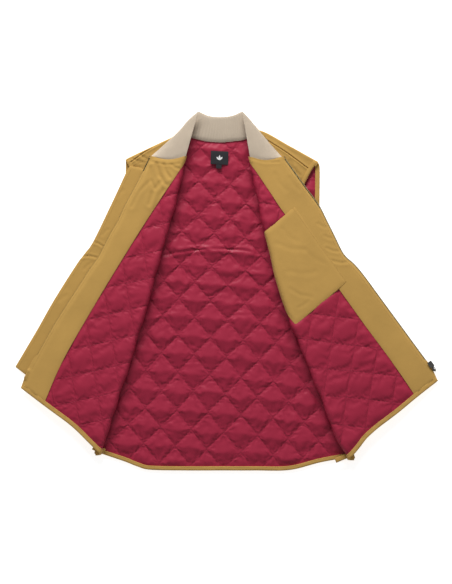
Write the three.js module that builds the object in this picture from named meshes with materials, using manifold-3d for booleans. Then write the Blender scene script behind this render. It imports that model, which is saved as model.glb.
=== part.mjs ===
// A quilted-lined work vest, laid on its back with both fronts folded outward.
// Millimetres. X runs across the back (+X is the wearer's left), Y runs from hem to collar,
// Z is up from the table. Sides are named for the wearer.
import * as THREE from 'three';
import { mergeVertices } from 'three/addons/utils/BufferGeometryUtils.js';
import Module from 'manifold-3d';

const wasm = await Module();
wasm.setup();

// Driving dimensions
const GAP = 0.3;              // clear space between neighbouring pieces
const SHELL = 0.9;            // canvas
const WADDING = 2.6;          // polyester wadding
const LINING = 0.8;           // quilted satin
const PANEL = SHELL + GAP + WADDING + GAP + LINING;
const HEM_BAND = 12;          // canvas band along the hem
const TEETH = 3;              // width of one row of zip teeth
const TEETH_LOW = 0.9;
const TEETH_HIGH = 4.1;
const TAPE = 13;              // zip tape beyond the teeth
const TAPE_THICK = 0.6;
const ARMHOLE_BAND = 10;
const SHOULDER_BAND = 18;     // back canvas turned forward over the shoulder
const FLAP_THICK = 2.1;
const POCKET_THICK = 1;
const RIB_THICK = 3.2;

// Fold lines: a point, and the direction that points away from the middle of the vest
const FOLD_RISE = 20;         // underside of a folded-out front, at its fold
const SIDE_RISE = 9;          // underside of the part that stays, at the fold
const SIDE_FALL = 0.026;
const FOLD_RIGHT = { at: [-64.1, 348.3], out: [-0.966, 0.2584], fall: 0.055 };
const FOLD_LEFT = { at: [52.7, 344.9], out: [0.9551, 0.2963], fall: 0.066 };

const awayFrom = (fold, x, y) => (x - fold.at[0]) * fold.out[0] + (y - fold.at[1]) * fold.out[1];
const level = () => 0;
const onFront = (fold) => (x, y) => FOLD_RISE - fold.fall * awayFrom(fold, x, y);
const onSide = (fold) => (x, y) => SIDE_RISE - SIDE_FALL * awayFrom(fold, x, y);
const foldPoint = (fold, y, out = 1.6) => {
  const along = [fold.out[1], -fold.out[0]];
  const t = (y - fold.at[1] - out * fold.out[1]) / along[1];
  return [fold.at[0] + along[0] * t + out * fold.out[0], y];
};

// Everything on the middle's side of a fold line, as an outline for cutting
const beforeFold = (fold) => {
  const along = [fold.out[1], -fold.out[0]];
  const corner = (t, out) => [
    fold.at[0] + along[0] * t + out * fold.out[0],
    fold.at[1] + along[1] * t + out * fold.out[1],
  ];
  return [corner(-900, 1.4), corner(900, 1.4), corner(900, -300), corner(-900, -300)];
};

// Outlines, counter-clockwise seen from above
const neckSeam = [[54, 346], [27, 342.5], [0, 340], [-31, 342.5], [-60, 349]];
const rightShoulder = [[-60, 349], [-84, 358], [-109, 346], [-196, 305], [-203, 300]];
const rightArmhole = [[-203, 300], [-203, 250], [-201, 215], [-208, 175], [-226, 146], [-258, 123]];
const hem = [[-274, -320], [-240, -337], [-206, -349], [-150, -367], [150, -367], [217, -350], [284, -338]];
const leftArmhole = [[254, 108], [229, 135], [217, 165], [214, 200], [215, 283], [211, 296]];
const leftShoulder = [[211, 296], [84, 364], [54, 346]];
const back = [...rightShoulder, ...rightArmhole.slice(1), ...hem, ...leftArmhole, ...leftShoulder.slice(1, 2),
  ...neckSeam.slice(0, -1)];

const rightSideShoulder = [[-70, 350], [-86, 356], [-109, 344], [-195, 303], [-201, 298]];
const rightSideHem = [[-270, -319], [-257, -325], foldPoint(FOLD_RIGHT, -330)];
const rightSide = [...rightSideShoulder, [-188, 268], [-177, 235], [-178, 205], [-190, 170], [-214, 144],
  [-255, 121], ...rightSideHem, foldPoint(FOLD_RIGHT, 345)];
const leftSideShoulder = [[209, 295], [84, 362], [60, 348]];
const leftSideHem = [foldPoint(FOLD_LEFT, -344), [280, -336]];
const leftSide = [foldPoint(FOLD_LEFT, 342), ...leftSideHem, [251, 107], [211, 134], [188, 165], [176, 200],
  [178, 240], [192, 270], ...leftSideShoulder];

const rightNeck = [foldPoint(FOLD_RIGHT, 309), [-112, 301.5], [-144, 308], [-152.7, 305.3]];
const rightZip = [[-152.7, 305.3], [-166.6, 276], [-181.9, 245], [-205, 203], [-220, 170.5], [-235.6, 143.6],
  [-249.4, 116.7], [-262.5, 91.8], [-280, 67], [-301, 34.4], [-359, -56], [-412, -152]];
const rightHem = [[-428, -190], [-373, -232], [-320, -271], [-280, -306], foldPoint(FOLD_RIGHT, -330)];
const rightFront = [...rightNeck, ...rightZip.slice(1), ...rightHem];
const rightInner = [[-127, 219], [-185, 129], [-264, 0], [-338, -129], [-373, -212]];

const leftZip = [[457, -146.3], [311, 52], [287, 79], [263, 105], [245, 142], [232, 168], [213, 205],
  [182, 247], [141, 304]];
const leftHem = [foldPoint(FOLD_LEFT, -344), [314, -299], [346, -271], [381, -244], [428, -206], [470, -174]];
const leftFront = [...leftHem, ...leftZip, [112, 300.5], foldPoint(FOLD_LEFT, 307)];
const leftInner = [[418, -202], [368, -129], [311, -52], [257, 23], [139, 186], [108, 232]];

const stormFlap = [[-158, 274], [-168, 282], [-193.5, 288], [-203, 271], [-239, 194], [-264, 142], [-292, 97],
  [-316, 65], [-357, 0], [-394, -65], [-441, -144], [-417, -162], [-404, -154], [-350, -52], [-292, 38],
  [-255, 90], [-228, 140], [-197, 200]];
const pocket = [foldPoint(FOLD_LEFT, 160, 3), foldPoint(FOLD_LEFT, -42, 3), [273, 39], [160, 199]];
const collarBack = [...neckSeam.map(([x, y]) => [x, y + 0.6]).reverse(), [83, 364.6], [84, 367], [66, 385],
  [47, 403], [24, 394], [0, 392], [-24, 394], [-45, 403], [-68, 384], [-87, 364], [-84, 359.5]];
const collarRight = [foldPoint(FOLD_RIGHT, 398), [-64, 386], [-89, 363], [-146, 309.5], [-112, 303.2],
  foldPoint(FOLD_RIGHT, 311)];
const collarLeft = [foldPoint(FOLD_LEFT, 309), [112, 302.5], [133, 308], [109, 335], [84, 363],
  [62, 387], foldPoint(FOLD_LEFT, 398)];
const labelOutline = [[-20, 293], [17, 291], [18, 319], [-19, 321]];
const sizeTab = [[-8, 283.5], [3, 283], [3, 291.2], [-8, 292]];

// Builders
function meshData(geometry) {
  const g = geometry.clone();
  g.deleteAttribute('normal');
  g.deleteAttribute('uv');
  return mergeVertices(g, 1e-4);
}

function extruded(outline, low, high) {
  const points = outline.map(([x, y]) => new THREE.Vector2(x, y));
  if (THREE.ShapeUtils.isClockWise(points)) {
    points.reverse();
  }
  const g = new THREE.ExtrudeGeometry(new THREE.Shape(points), { depth: high - low, bevelEnabled: false });
  g.translate(0, 0, low);
  return meshData(g);
}

function toSolid(geometry) {
  const g = meshData(geometry);
  return new wasm.Manifold(new wasm.Mesh({
    numProp: 3,
    vertProperties: new Float32Array(g.attributes.position.array),
    triVerts: new Uint32Array(g.index.array),
  }));
}

function toGeometry(solid) {
  const mesh = solid.getMesh();
  const g = new THREE.BufferGeometry();
  g.setAttribute('position', new THREE.BufferAttribute(new Float32Array(mesh.vertProperties), 3));
  g.setIndex(new THREE.BufferAttribute(new Uint32Array(mesh.triVerts), 1));
  return g;
}

// A flat piece with strips cut away, raised onto a sloping surface
function slab(outline, low, high, surface = level, cuts = []) {
  let solid = toSolid(extruded(outline, low, high));
  for (const cut of cuts) {
    solid = solid.subtract(toSolid(extruded(cut, low - 1, high + 1)));
  }
  const g = toGeometry(solid);
  const p = g.attributes.position;
  for (let i = 0; i < p.count; i += 1) {
    p.setZ(i, p.getZ(i) + surface(p.getX(i), p.getY(i)));
  }
  return g;
}

// The points of a line moved sideways; positive goes to its left, which is inside the outlines
function beside(line, distance) {
  return line.map((point, i) => {
    const before = line[Math.max(i - 1, 0)];
    const after = line[Math.min(i + 1, line.length - 1)];
    const a = new THREE.Vector2(point[0] - before[0], point[1] - before[1]).normalize();
    const b = new THREE.Vector2(after[0] - point[0], after[1] - point[1]).normalize();
    const along = a.clone().add(b).normalize();
    const turn = i > 0 && i < line.length - 1 ? Math.max(a.dot(along), 0.5) : 1;
    return [point[0] - along.y * distance / turn, point[1] + along.x * distance / turn];
  });
}

function lengthened(line, first, last) {
  const end = (a, b, distance) => {
    const d = new THREE.Vector2(b[0] - a[0], b[1] - a[1]).setLength(distance);
    return [b[0] + d.x, b[1] + d.y];
  };
  const n = line.length;
  return [end(line[1], line[0], first), ...line.slice(1, -1), end(line[n - 2], line[n - 1], last)];
}

function strip(line, from, to) {
  return [...beside(line, from), ...beside(line, to).reverse()];
}

const colours = {
  canvas: [0x8a6a38, 0.85, 0],
  canvas_inside: [0xb88f4e, 0.8, 0],
  satin: [0x8b2a3f, 0.45, 0],
  wadding: [0xe6e2da, 0.95, 0],
  rib: [0xbcad9a, 0.9, 0],
  tape: [0x5b4a2a, 0.8, 0],
  metal: [0x4c4a46, 0.35, 1],
  woven_label: [0x1b1b1e, 0.7, 0],
};
const vest = new THREE.Group();
vest.name = 'quilted_work_vest';

function add(name, geometry, look, parent = vest) {
  const [color, roughness, metalness] = colours[look];
  const material = new THREE.MeshStandardMaterial({ color, roughness, metalness });
  material.name = look;
  const mesh = new THREE.Mesh(geometry, material);
  mesh.name = name;
  parent.add(mesh);
  return mesh;
}

// Heights inside a panel whose canvas is underneath, and inside one that lies lining down
const up = {
  shell: [0, SHELL],
  wadding: [SHELL + GAP, SHELL + GAP + WADDING],
  lining: [PANEL - LINING, PANEL],
};
const down = {
  shell: [PANEL - SHELL, PANEL],
  wadding: [LINING + GAP, LINING + GAP + WADDING],
  lining: [0, LINING],
};
const hemCut = HEM_BAND + GAP;

// Back panel
const backHemCut = strip(hem, -3, hemCut);
add('back_shell', slab(back, ...up.shell, level, [backHemCut]), 'canvas');
add('back_wadding', slab(back, ...up.wadding, level, [backHemCut]), 'wadding');
add('back_lining', slab(back, ...up.lining, level, [
  backHemCut,
  strip(rightArmhole, -3, ARMHOLE_BAND + GAP),
  strip(leftArmhole, -3, ARMHOLE_BAND + GAP),
]), 'satin');
add('back_hem_band', slab(strip(hem, 0, HEM_BAND), 0, PANEL), 'canvas_inside');
add('right_armhole_facing', slab(strip(rightArmhole, 0, ARMHOLE_BAND), ...up.lining), 'canvas_inside');
add('left_armhole_facing', slab(strip(leftArmhole, 0, ARMHOLE_BAND), ...up.lining), 'canvas_inside');
add('neck_label', slab(labelOutline, PANEL + GAP, PANEL + 1), 'woven_label');
add('size_tab', slab(sizeTab, PANEL + GAP, PANEL + 0.8), 'woven_label');

// The parts of the fronts that stay on the back, lining down
function sideParts(side, outline, shoulder, hemLine, fold) {
  const surface = onSide(fold);
  const cutHem = strip(hemLine, -3, hemCut);
  const cutShoulder = strip(shoulder, -3, SHOULDER_BAND + GAP);
  add(`${side}_side_lining`, slab(outline, ...down.lining, surface, [cutHem]), 'satin');
  add(`${side}_side_wadding`, slab(outline, ...down.wadding, surface, [cutHem]), 'wadding');
  add(`${side}_side_shell`, slab(outline, ...down.shell, surface, [cutHem, cutShoulder]), 'canvas');
  add(`${side}_side_hem_band`, slab(strip(hemLine, 0, HEM_BAND), 0, PANEL, surface, [beforeFold(fold)]),
    'canvas_inside');
  add(`${side}_shoulder_wrap`, slab(strip(shoulder, 0, SHOULDER_BAND), ...down.shell, surface), 'canvas');
}
sideParts('right', rightSide, rightSideShoulder, rightSideHem, FOLD_RIGHT);
sideParts('left', leftSide, leftSideShoulder, leftSideHem, FOLD_LEFT);

// The fronts, folded outward
function frontParts(side, outline, zip, hemLine, fold, parent) {
  const surface = onFront(fold);
  const cutHem = strip(hemLine, -3, hemCut);
  const opening = side === 'right' ? lengthened(zip, 5, 20) : lengthened(zip, 9, 5);
  const cutTeeth = strip(opening, -4, TEETH + 2 * GAP);
  const cutTape = strip(opening, -4, TEETH + TAPE + 2 * GAP);
  const mid = (TEETH_LOW + TEETH_HIGH - TAPE_THICK) / 2;
  add(`${side}_front_shell`, slab(outline, ...up.shell, surface, [cutHem, cutTeeth]), 'canvas', parent);
  add(`${side}_front_wadding`, slab(outline, ...up.wadding, surface, [cutHem, cutTape]), 'wadding', parent);
  add(`${side}_front_hem_band`, slab(strip(hemLine, 0, HEM_BAND), 0, PANEL, surface, [beforeFold(fold)]),
    'canvas_inside', parent);
  add(`${side}_zip_teeth`, slab(strip(zip, 0, TEETH), TEETH_LOW, TEETH_HIGH, surface), 'metal', parent);
  add(`${side}_zip_tape`, slab(strip(zip, TEETH + GAP, TEETH + TAPE), mid, mid + TAPE_THICK, surface),
    'tape', parent);
  return { surface, cutHem, cutTeeth };
}

const frontRight = new THREE.Group();
frontRight.name = 'right_front';
const frontLeft = new THREE.Group();
frontLeft.name = 'left_front';
vest.add(frontRight, frontLeft);

const right = frontParts('right', rightFront, rightZip, rightHem, FOLD_RIGHT, frontRight);
const left = frontParts('left', leftFront, leftZip, leftHem, FOLD_LEFT, frontLeft);
const rightLinedTop = foldPoint(FOLD_RIGHT, 290);
const leftLinedTop = foldPoint(FOLD_LEFT, 290);
const rightSeam = [rightLinedTop, ...rightInner, [-380, -232]];
const leftSeam = [[424, -222], ...leftInner, leftLinedTop];
const rightLined = [...rightSeam, [-340, -300], foldPoint(FOLD_RIGHT, -345)];
const leftLined = [...leftSeam, foldPoint(FOLD_LEFT, -355), [400, -320]];
const rightLiningCut = [[0, 300], ...beside(rightSeam, -GAP), [-320, -400], [0, -400]];
const leftLiningCut = [[0, -400], [420, -400], ...beside(leftSeam, -GAP), [0, 300]];

function insideParts(side, outline, lined, liningCut, front, parent) {
  const solidLined = toSolid(extruded(lined, -20, 20));
  const trimmed = (cuts, keep) => {
    let solid = toSolid(extruded(outline, ...up.lining));
    for (const cut of cuts) {
      solid = solid.subtract(toSolid(extruded(cut, -20, 20)));
    }
    if (keep) {
      solid = solid.intersect(keep);
    }
    const g = toGeometry(solid);
    const p = g.attributes.position;
    for (let i = 0; i < p.count; i += 1) {
      p.setZ(i, p.getZ(i) + front.surface(p.getX(i), p.getY(i)));
    }
    return g;
  };
  add(`${side}_front_lining`, trimmed([front.cutHem], solidLined), 'satin', parent);
  add(`${side}_facing`, trimmed([front.cutHem, front.cutTeeth, liningCut]), 'canvas_inside', parent);
}
insideParts('right', rightFront, rightLined, rightLiningCut, right, frontRight);
insideParts('left', leftFront, leftLined, leftLiningCut, left, frontLeft);

add('storm_flap', slab(stormFlap, -GAP - FLAP_THICK, -GAP, right.surface), 'canvas', frontRight);
add('inner_pocket', slab(pocket, PANEL + GAP + 0.1, PANEL + GAP + 0.1 + POCKET_THICK, left.surface),
  'canvas_inside', frontLeft);

// Collar: the part behind the neck, and the two ends folded out with the fronts
add('collar_back', slab(collarBack, 0.4, 0.4 + RIB_THICK), 'rib');
add('collar_right', slab(collarRight, 0, RIB_THICK, right.surface), 'rib', frontRight);
add('collar_left', slab(collarLeft, 0, RIB_THICK, left.surface), 'rib', frontLeft);

// Zip ends
function block(center, along, length, width, low, high) {
  const [ux, uy] = along;
  const corners = [[-1, -1], [1, -1], [1, 1], [-1, 1]];
  return corners.map(([a, b]) => [
    center[0] + ux * a * length / 2 - uy * b * width / 2,
    center[1] + uy * a * length / 2 + ux * b * width / 2,
  ]);
}
const unit = (a, b) => {
  const d = new THREE.Vector2(b[0] - a[0], b[1] - a[1]).normalize();
  return [d.x, d.y];
};
const rightTop = unit(rightZip[1], rightZip[0]);
const leftTop = unit(leftZip[leftZip.length - 2], leftZip[leftZip.length - 1]);
const beyond = (point, along, distance, inward = 0) => [
  point[0] + along[0] * distance - along[1] * inward,
  point[1] + along[1] * distance + along[0] * inward,
];
add('right_zip_stop', slab(block(beyond(rightZip[0], rightTop, 2.4, -1.5), rightTop, 4, 3.4), 0.6, 4.4,
  right.surface), 'metal', frontRight);
add('left_zip_stop', slab(block(beyond(leftZip[leftZip.length - 1], leftTop, 2.4, 1.5), leftTop, 4, 3.4), 0.6, 4.4,
  left.surface), 'metal', frontLeft);
const rightEnd = rightZip[rightZip.length - 1];
const rightDown = unit(rightZip[rightZip.length - 2], rightEnd);
add('zip_pin', slab(block(beyond(rightEnd, rightDown, 9.4, 0.2), rightDown, 18, 2.4), 1.4, 3.6,
  right.surface), 'metal', frontRight);
const leftEnd = leftZip[0];
const leftUp = unit(leftZip[0], leftZip[1]);
add('zip_box', slab(block(beyond(leftEnd, leftUp, -3.8, -0.4), leftUp, 7, 4.6), 0.5, 4.5,
  left.surface), 'metal', frontLeft);

// Slider: two plates on a post, with a bridge on the canvas side that holds the pull
const SLIDER_LENGTH = 13;
const SLIDER_IN = 3.2;
const SLIDER_OUT = 7;
const PLATE = 1;
const PLATE_HIGH = 4.5;
const PLATE_LOW = -0.6;
const BRIDGE_LENGTH = 9;
const BRIDGE_WIDTH = 2;
const BRIDGE_HIGH = 2.5;
const PIN_LOW = -1.45;        // height of the pull's turning axis
const sliderAt = beyond(leftEnd, leftUp, 8.2);
const SLIDER_MID = (SLIDER_OUT - SLIDER_IN) / 2;

function box3(length, width, low, high, offAlong, offOut) {
  const g = new THREE.BoxGeometry(length, width, high - low);
  g.translate(offAlong, offOut, (low + high) / 2);
  return g;
}

// Local axes: X along the teeth towards the collar, Y outward from the front, Z up
function seat(geometry) {
  const m = new THREE.Matrix4();
  const [ux, uy] = leftUp;
  const z = left.surface(sliderAt[0], sliderAt[1]);
  const e = 1e-6;
  const slopeAlong = -FOLD_LEFT.fall * (ux * FOLD_LEFT.out[0] + uy * FOLD_LEFT.out[1]);
  const slopeOut = -FOLD_LEFT.fall * (uy * FOLD_LEFT.out[0] - ux * FOLD_LEFT.out[1]);
  m.set(
    ux, uy, 0, sliderAt[0],
    uy, -ux, 0, sliderAt[1],
    slopeAlong, slopeOut, 1, z,
    0, 0, 0, 1,
  );
  const g = geometry.clone().applyMatrix4(m);
  if (m.determinant() < -e) {
    const index = g.index.array;
    for (let i = 0; i < index.length; i += 3) {
      [index[i], index[i + 1]] = [index[i + 1], index[i]];
    }
  }
  return g;
}

const plates = [
  box3(SLIDER_LENGTH, SLIDER_IN + SLIDER_OUT, PLATE_HIGH, PLATE_HIGH + PLATE, 0, SLIDER_MID),
  box3(SLIDER_LENGTH, SLIDER_IN + SLIDER_OUT, PLATE_LOW, PLATE_LOW + PLATE, 0, SLIDER_MID),
  box3(6, 2.6, PLATE_LOW + 0.5, PLATE_HIGH + 0.5, 2.5, SLIDER_MID),
  box3(BRIDGE_LENGTH, BRIDGE_WIDTH, PLATE_LOW - BRIDGE_HIGH, PLATE_LOW + 0.5, 0, SLIDER_MID),
];
let sliderSolid = toSolid(plates[0]);
for (const piece of plates.slice(1)) {
  sliderSolid = sliderSolid.add(toSolid(piece));
}
sliderSolid = sliderSolid.subtract(toSolid(
  box3(BRIDGE_LENGTH - 2, BRIDGE_WIDTH + 1, PLATE_LOW - BRIDGE_HIGH + 0.8, PLATE_LOW, 0, SLIDER_MID),
));
add('zip_slider', seat(toGeometry(sliderSolid)), 'metal', frontLeft);

const PULL_LENGTH = 19;
const PULL_WIDTH = 7;
const PULL_THICK = 0.9;
const pullShape = new THREE.Shape();
pullShape.moveTo(0.45, -PULL_WIDTH / 2);
pullShape.lineTo(0.45, PULL_WIDTH / 2);
pullShape.lineTo(-14, PULL_WIDTH / 2);
pullShape.lineTo(-17.5, 2.2);
pullShape.lineTo(-PULL_LENGTH, 0);
pullShape.lineTo(-17.5, -2.2);
pullShape.lineTo(-14, -PULL_WIDTH / 2);
const pullHoles = [
  [[-0.45, -2.4], [-6.4, -2.4], [-6.4, 2.4], [-0.45, 2.4]],
  [[-10, -2.2], [-14.4, -2.2], [-16.6, 0], [-14.4, 2.2], [-10, 2.2]],
];
for (const hole of pullHoles) {
  pullShape.holes.push(new THREE.Path(hole.map(([x, y]) => new THREE.Vector2(x, y))));
}
const pullFlat = new THREE.ExtrudeGeometry(pullShape, { depth: PULL_THICK, bevelEnabled: false });
pullFlat.translate(0, SLIDER_MID, PIN_LOW - PULL_THICK / 2);
add('zip_pull', seat(meshData(pullFlat)), 'metal', frontLeft);

vest.traverse((mesh) => {
  if (mesh.isMesh) {
    mesh.geometry.computeVertexNormals();
  }
});

export default vest;
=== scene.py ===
"""Looks for a quilted-lined work vest lying on its back with both fronts folded outward.

Lengths in this file are millimetres in the CAD's frame; meshes are written in metres.
Sides are the wearer's: the right front is on the -X side.
"""
import math

import bpy
import numpy as np
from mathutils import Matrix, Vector
from mathutils.geometry import delaunay_2d_cdt


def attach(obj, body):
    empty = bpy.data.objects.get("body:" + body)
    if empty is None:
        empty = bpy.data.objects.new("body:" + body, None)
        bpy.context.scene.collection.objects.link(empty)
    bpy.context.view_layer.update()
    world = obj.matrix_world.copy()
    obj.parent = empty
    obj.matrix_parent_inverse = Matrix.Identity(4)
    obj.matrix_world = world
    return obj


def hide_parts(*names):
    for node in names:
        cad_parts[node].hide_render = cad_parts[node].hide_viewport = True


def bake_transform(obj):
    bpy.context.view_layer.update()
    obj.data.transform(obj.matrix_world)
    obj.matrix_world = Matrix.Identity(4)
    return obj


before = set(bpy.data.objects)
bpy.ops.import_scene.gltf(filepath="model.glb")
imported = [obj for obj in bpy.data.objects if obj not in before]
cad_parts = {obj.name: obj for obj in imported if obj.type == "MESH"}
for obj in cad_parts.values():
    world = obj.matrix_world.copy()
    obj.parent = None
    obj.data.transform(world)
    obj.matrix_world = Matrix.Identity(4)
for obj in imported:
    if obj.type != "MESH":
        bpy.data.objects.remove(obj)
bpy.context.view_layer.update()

# ---------------------------------------------------------------- driving dimensions
FOLD_RISE = 20.0
SIDE_RISE = 9.0
SIDE_FALL = 0.026
PANEL_MID = 2.45
QUILT_LOFT = 4.8
FRONT_LOFT = 3.4
HEM_BAND = 12.0
TUCK_V = 24.0            # how far past the fold line a front's cloth reaches back over the side part
TURN_RISE = 0.002
TURN_TILT = 0.09
LINING_TURN = 1.45       # how far the lining, facing and pocket go round the fold, in radians
HAND_TURN = 1.7          # how far round the fold the canvas passes from one body to the other, in radians
HAND_ROWS = (1.5, 1.9)   # the rows of mesh on either side of that line
HAND_CLEAR = 0.45        # how far from it the canvas has no other mesh points
NOSE_TO_CENTRE = 7.4     # from a fold's outermost line to the centre of its turn, without swell
TURN_GIRTH = 16.4        # length of cloth in the turn, without swell
SWELL_GIRTH = 1.57       # what each millimetre of swell adds to that length
FOLD_REACH = (-40, 760)  # how far along the hinge line a fold's lines are drawn
FOLD_SWELL = 1.6         # how much the thick layers bulge upward beside a fold
ROW_RATIO = 0.866        # height of a row of evenly spaced points to its spacing
EDGE_CLEAR = 0.55        # how near those points come to an outline, as a share of their spacing
EDGE_SOFTNESS = 0.35     # how much of a slab's thickness its edge loses
STITCH_PITCH = 3.4
THREAD_RADIUS = 0.26
RED_STITCH = 2.8         # length of one quilting stitch
RIB_ROWS = 26            # rows of mesh between the collar's seam and its free edge
RIB_PITCH = 3.8
PUFF_FRAMES = 12
PUFF_PRESSURE = 2.0
PUFF_CAP = 0.8           # the furthest that the simulation moves the lining
PUFF_GROWTH = 0.04
TOOTH_PITCH = 2.2
TOOTH_INSET = 1.5        # how far inside the zip's line the teeth stand
LEAF_WIDTH = 3.6


class Fold:
    def __init__(self, at, out, fall, nose, body):
        self.at = np.array(at, float)
        self.out = np.array(out, float)
        self.along = np.array([out[1], -out[0]]) if out[0] > 0 else np.array([-out[1], out[0]])
        self.fall = fall
        self.nose_u = [p[0] for p in nose]
        self.nose_v = [p[1] for p in nose]
        self.body = body

    def uv(self, xy):
        rel = np.asarray(xy, float) - self.at
        return rel @ self.along, rel @ self.out

    def xy(self, u, v):
        u = np.asarray(u, float)[..., None]
        v = np.asarray(v, float)[..., None]
        return self.at + u * self.along + v * self.out

    def nose(self, u):
        return np.interp(u, self.nose_u, self.nose_v)

    def mid(self, xy):
        """Middle height of the folded-out front."""
        u, v = self.uv(xy)
        t = np.clip((v - 120) / 130, 0, 1)
        droop = (3.0 if self.body == "left_front" else 4.6) * t * t
        swell = FOLD_SWELL * np.exp(-((v - self.nose(u)) / 26) ** 2)
        return FOLD_RISE - self.fall * v + PANEL_MID - droop + swell

    def side(self, xy):
        """Middle height of the part that stays on the back."""
        return SIDE_RISE - SIDE_FALL * self.uv(xy)[1] + PANEL_MID

    def centre(self, u):
        """Where the turn's centre lies, out from the hinge line."""
        return self.nose(u) + NOSE_TO_CENTRE + FOLD_SWELL / 2

    def wrapped(self, xy, push):
        """A point of the front's flat cloth, laid round the fold, push millimetres proud of it."""
        u, w = self.uv(xy)
        vc = self.centre(u)
        at = self.xy(u, vc)
        high = self.mid(at)
        low = self.side(at)
        r = (high - low) / 2
        s = vc - w
        a = np.clip(s / r, 0, math.pi)
        past = np.maximum(s - math.pi * r, 0)
        v = np.where(s <= 0, w, vc - r * np.sin(a) + past)
        z = np.where(s <= 0, self.mid(xy), low + r + r * np.cos(a))
        z = np.where(past > 0, self.side(self.xy(u, v)), z)
        a = np.where(s <= 0, 0.0, a)
        push = np.where((a > math.pi / 2) & (push > 0), push * (1 - 0.65 * (a / (math.pi / 2) - 1)), push)
        p = self.xy(u, v - np.sin(a) * push)
        return np.column_stack([p, z + np.cos(a) * push])

    def last(self, u):
        """How far the flat cloth reaches past the fold line."""
        return 2 * self.centre(u) - TURN_GIRTH - SWELL_GIRTH * FOLD_SWELL - TUCK_V

    def radius(self, u):
        at = self.xy(u, self.centre(u))
        return (self.mid(at) - self.side(at)) / 2

    def turned(self, xy):
        """How far round the fold the flat cloth is, in radians."""
        u, w = self.uv(xy)
        return (self.centre(u) - w) / self.radius(u)

    def turn_line(self, u, turn):
        """The line of flat cloth that lies turn radians round the fold."""
        return self.xy(u, self.centre(u) - self.radius(u) * turn)

    def inner_edge(self, y0, y1, step=5.0, turn=None):
        """The flat cloth's edge beyond the fold, or turn radians round it, from y0 to y1 on the plan."""
        u = np.linspace(*FOLD_REACH, 400)
        line = self.xy(u, self.last(u)) if turn is None else self.turn_line(u, turn)
        lo, hi = min(y0, y1), max(y0, y1)
        line = line[(line[:, 1] > lo) & (line[:, 1] < hi)][::max(1, int(step / 2))]
        if (line[0][1] - line[-1][1]) * (y0 - y1) < 0:
            line = line[::-1]
        return line

    def hand_over(self, obj):
        """Bakes the piece's placement into its mesh; it is attached to no body."""
        step = np.array([self.out[0] * TURN_TILT, self.out[1] * TURN_TILT, 1.0])
        step *= TURN_RISE / (1 + TURN_TILT ** 2)
        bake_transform(obj)


RIGHT = Fold((-64.1, 348.3), (-0.966, 0.2584), 0.055,
             [(0, -4), (60, -4), (110, -6), (228, -6), (300, -4), (365, -6), (430, -2), (490, -2),
              (545, 2), (600, 5), (690, 8)], "right_front")
LEFT = Fold((52.7, 344.9), (0.9551, 0.2963), 0.066,
            [(0, 1), (24, -1), (50, -5), (83, -7), (127, -11), (174, -15), (208, -18), (255, -20),
             (300, -24), (356, -24), (413, -23), (441, -19), (500, -15), (540, -11), (590, -7),
             (642, -5), (684, -1), (711, 7)], "left_front")


# ---------------------------------------------------------------- curves and noise
def curve(points, step=4.0):
    """A smooth line through points, with even spacing."""
    p = np.array(points, float)
    if len(p) == 2:
        fine = p
    else:
        ext = np.vstack([2 * p[0] - p[1], p, 2 * p[-1] - p[-2]])
        fine = []
        for i in range(1, len(ext) - 2):
            a, b, c, d = ext[i - 1:i + 3]
            for t in np.linspace(0, 1, 16, endpoint=False):
                fine.append(0.5 * (2 * b + (c - a) * t + (2 * a - 5 * b + 4 * c - d) * t * t
                                   + (3 * b - a - 3 * c + d) * t ** 3))
        fine.append(p[-1])
        fine = np.array(fine)
    s = along(fine)
    n = max(2, int(round(s[-1] / step)) + 1)
    t = np.linspace(0, s[-1], n)
    return np.stack([np.interp(t, s, fine[:, 0]), np.interp(t, s, fine[:, 1])], 1)


def chain(*lines):
    """Lines joined end to end into one closed outline, corners kept."""
    out = []
    for line in lines:
        for q in line:
            if not out or np.hypot(*(q - out[-1])) > 0.6:
                out.append(np.array(q, float))
    if np.hypot(*(out[0] - out[-1])) < 0.6:
        out.pop()
    return np.array(out)


def straight_sides(points):
    """The closed outline with these corners."""
    return chain(*[curve(pair) for pair in zip(points, np.roll(points, -1, axis=0))])


def normals(line):
    t = np.gradient(line, axis=0)
    t /= np.maximum(np.hypot(t[:, 0], t[:, 1]), 1e-9)[:, None]
    return np.stack([-t[:, 1], t[:, 0]], 1)


def offset(line, d):
    return line + normals(line) * d


_grids = {}


def wobble(x, y, size, seed):
    """Smooth random values from -1 to 1, changing over size millimetres."""
    if seed not in _grids:
        _grids[seed] = np.random.RandomState(seed).uniform(-1, 1, (64, 64))
    g = _grids[seed]
    fx = np.asarray(x, float) / size + 1000.3
    fy = np.asarray(y, float) / size + 1000.7
    ix = np.floor(fx).astype(int)
    iy = np.floor(fy).astype(int)
    tx = fx - ix
    ty = fy - iy
    tx = tx * tx * tx * (tx * (6 * tx - 15) + 10)
    ty = ty * ty * ty * (ty * (6 * ty - 15) + 10)
    a = g[ix % 64, iy % 64]
    b = g[(ix + 1) % 64, iy % 64]
    c = g[ix % 64, (iy + 1) % 64]
    d = g[(ix + 1) % 64, (iy + 1) % 64]
    return (a * (1 - tx) + b * tx) * (1 - ty) + (c * (1 - tx) + d * tx) * ty


def drift(xy, size, seed):
    return wobble(xy[:, 0], xy[:, 1], size, seed)


def along(line):
    """How far each point of a line is from its start, measured along it."""
    return np.concatenate([[0], np.cumsum(np.hypot(*np.diff(line, axis=0).T))])


def distance_to(line, xy):
    """Distance from each point to an open line."""
    a = line[:-1]
    b = line[1:]
    best = np.full(len(xy), 1e9)
    for p, q in zip(a, b):
        d = q - p
        t = np.clip(((xy - p) @ d) / max(d @ d, 1e-9), 0, 1)
        gap = xy - (p + t[:, None] * d)
        best = np.minimum(best, np.hypot(gap[:, 0], gap[:, 1]))
    return best


def closed(outline):
    return np.vstack([outline, outline[:1]])


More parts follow.
